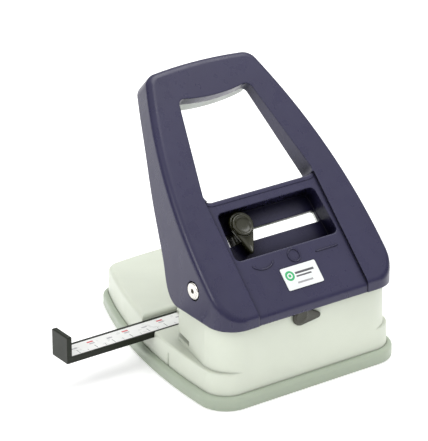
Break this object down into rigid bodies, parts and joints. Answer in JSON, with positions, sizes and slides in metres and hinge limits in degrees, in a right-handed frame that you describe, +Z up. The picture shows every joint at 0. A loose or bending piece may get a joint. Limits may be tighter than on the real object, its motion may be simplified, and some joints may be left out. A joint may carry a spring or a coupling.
{
  "type": "hole punch",
  "caption": "Tabletop card punch with inclined loop handle, selector knob in a recess, side guide ruler, rear deck, throat and soft chip tray.",
  "frame": {"origin": "middle of the base footprint, on the table", "axes": "+X to the right seen from the label side, +Y towards the rear deck where the card goes in, +Z up"},
  "size_m": [0.1538, 0.1395, 0.136],
  "materials": {
    "navy_plastic": "fine satin moulded plastic",
    "pale_plastic": "satin moulded plastic",
    "tray_vinyl": "translucent soft vinyl",
    "liner_plastic": "satin moulded plastic",
    "black_plastic": "polished black plastic",
    "bar_plastic": "fine matt black plastic",
    "steel": "ground steel",
    "zinc_steel": "zinc plated",
    "nickel": "nickel plated, polished",
    "spring_steel": "bright wire",
    "rubber": "matt",
    "printed_label": "printed film"
  },
  "bodies": {
    "frame": {"housing": "pale_plastic", "die_plate": "steel", "guide_block": "steel", "back_stop": "bar_plastic", "frame_screws": "zinc_steel", "spring_plate": "zinc_steel", "side_plate_left": "zinc_steel", "side_plate_right": "zinc_steel", "pivot_pin_left": "nickel", "pivot_pin_right": "nickel", "pivot_clips": "spring_steel", "ruler_keeper": "pale_plastic", "keeper_screws": "zinc_steel", "ruler_spring": "spring_steel", "corner_spring": "spring_steel", "round_spring": "spring_steel", "slot_spring": "spring_steel"},
    "tray": {"base_tray": "tray_vinyl", "rubber_feet": "rubber"},
    "handle": {"handle_shell": "navy_plastic", "grip_liner": "liner_plastic", "liner_screws": "zinc_steel", "wear_plate": "zinc_steel", "name_label": "printed_label"},
    "selector": {"selector_knob": "black_plastic", "selector_presser": "steel", "selector_screw": "zinc_steel"},
    "corner_punch": {"corner_punch": "steel"},
    "round_punch": {"round_punch": "steel"},
    "slot_punch": {"slot_punch": "steel"},
    "ruler": {"ruler_bar": "bar_plastic", "ruler_label": "printed_label"},
    "lock": {"lock_knob": "black_plastic", "lock_shaft": "zinc_steel", "lock_clip": "spring_steel"}
  },
  "joints": [
    {"name": "handle_press", "type": "hinge", "parent": "frame", "child": "handle", "pos_m": [0, -0.0435, 0.0546], "axis": [-1, 0, 0], "range_deg": [0, 16], "stiffness_Nm_per_rad": 0.9, "springref_deg": -14.32},
    {"name": "selector_slide", "type": "slide", "parent": "handle", "child": "selector", "axis": [1, 0, 0], "range_m": [0, 0.034]},
    {"name": "corner_punch_slide", "type": "slide", "parent": "frame", "child": "corner_punch", "axis": [0, 0, -1], "range_m": [0, 0.0044], "deforming": ["corner_spring"]},
    {"name": "round_punch_slide", "type": "slide", "parent": "frame", "child": "round_punch", "axis": [0, 0, -1], "range_m": [0, 0.0044], "deforming": ["round_spring"]},
    {"name": "slot_punch_slide", "type": "slide", "parent": "frame", "child": "slot_punch", "axis": [0, 0, -1], "range_m": [0, 0.0044], "deforming": ["slot_spring"]},
    {"name": "ruler_slide", "type": "slide", "parent": "frame", "child": "ruler", "axis": [-1, 0, 0], "range_m": [-0.044, 0.012]},
    {"name": "lock_turn", "type": "hinge", "parent": "frame", "child": "lock", "pos_m": [-0.006, -0.0661, 0.0379], "axis": [0, 1, 0], "range_deg": [0, 90]},
    {"name": "tray_release", "type": "slide", "parent": "frame", "child": "tray", "axis": [0, 0, -1], "range_m": [0, 0.02]}
  ],
  "couplings": [
    {"joint": "corner_punch_slide", "follows": "handle_press", "m_per_rad": 0.0155},
    {"joint": "round_punch_slide", "follows": "handle_press", "m_per_rad": 0.0155},
    {"joint": "slot_punch_slide", "follows": "handle_press", "m_per_rad": 0.0155}
  ]
}
